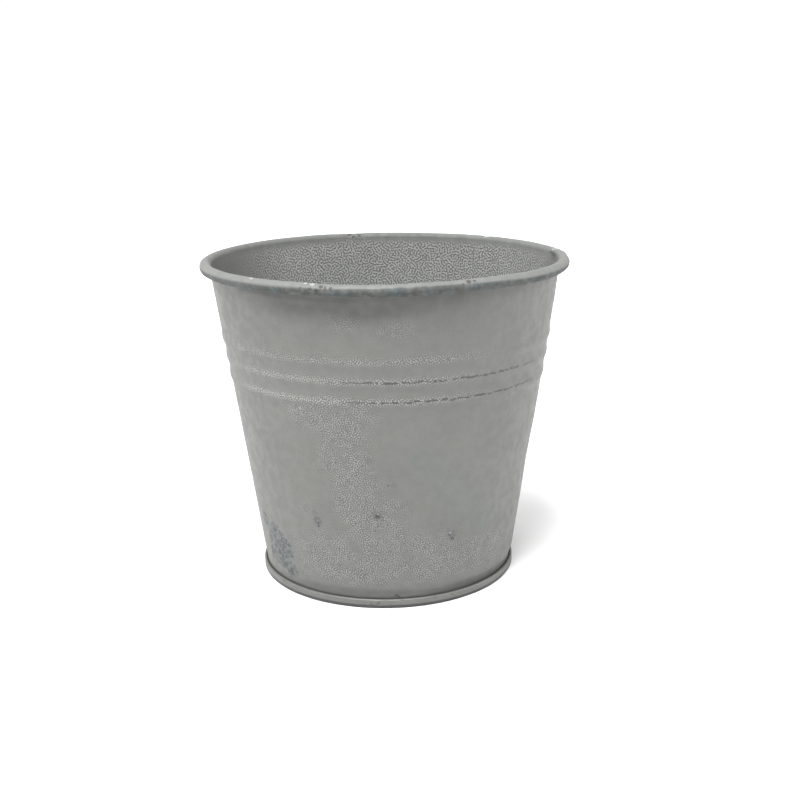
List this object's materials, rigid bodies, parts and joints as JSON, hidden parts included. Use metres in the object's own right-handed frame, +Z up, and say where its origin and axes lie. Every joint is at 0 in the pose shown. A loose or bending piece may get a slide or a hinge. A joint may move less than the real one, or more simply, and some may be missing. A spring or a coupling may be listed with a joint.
{
  "type": "florist bucket",
  "caption": "Small tapered sheet-steel florist bucket with a rolled, wired rim, rolled beads below the rim and a base joined by a double seam.",
  "frame": {"origin": "on the bucket's axis, in the plane the foot stands on", "axes": "+Z up along the bucket's axis; +X to the right in the front view, about six degrees from the side seam; +Y to the back"},
  "size_m": [0.135, 0.135, 0.119],
  "materials": {
    "wall_coating": "satin grey wrinkle coating on thin steel",
    "base_coating": "satin grey wrinkle coating on thin steel",
    "wire_steel": "drawn steel wire",
    "compound": "matte dark sealing compound"
  },
  "bodies": {
    "root": {"side_wall": "wall_coating", "base_pan": "base_coating", "rim_wire": "wire_steel", "seam_compound": "compound"}
  },
  "joints": []
}
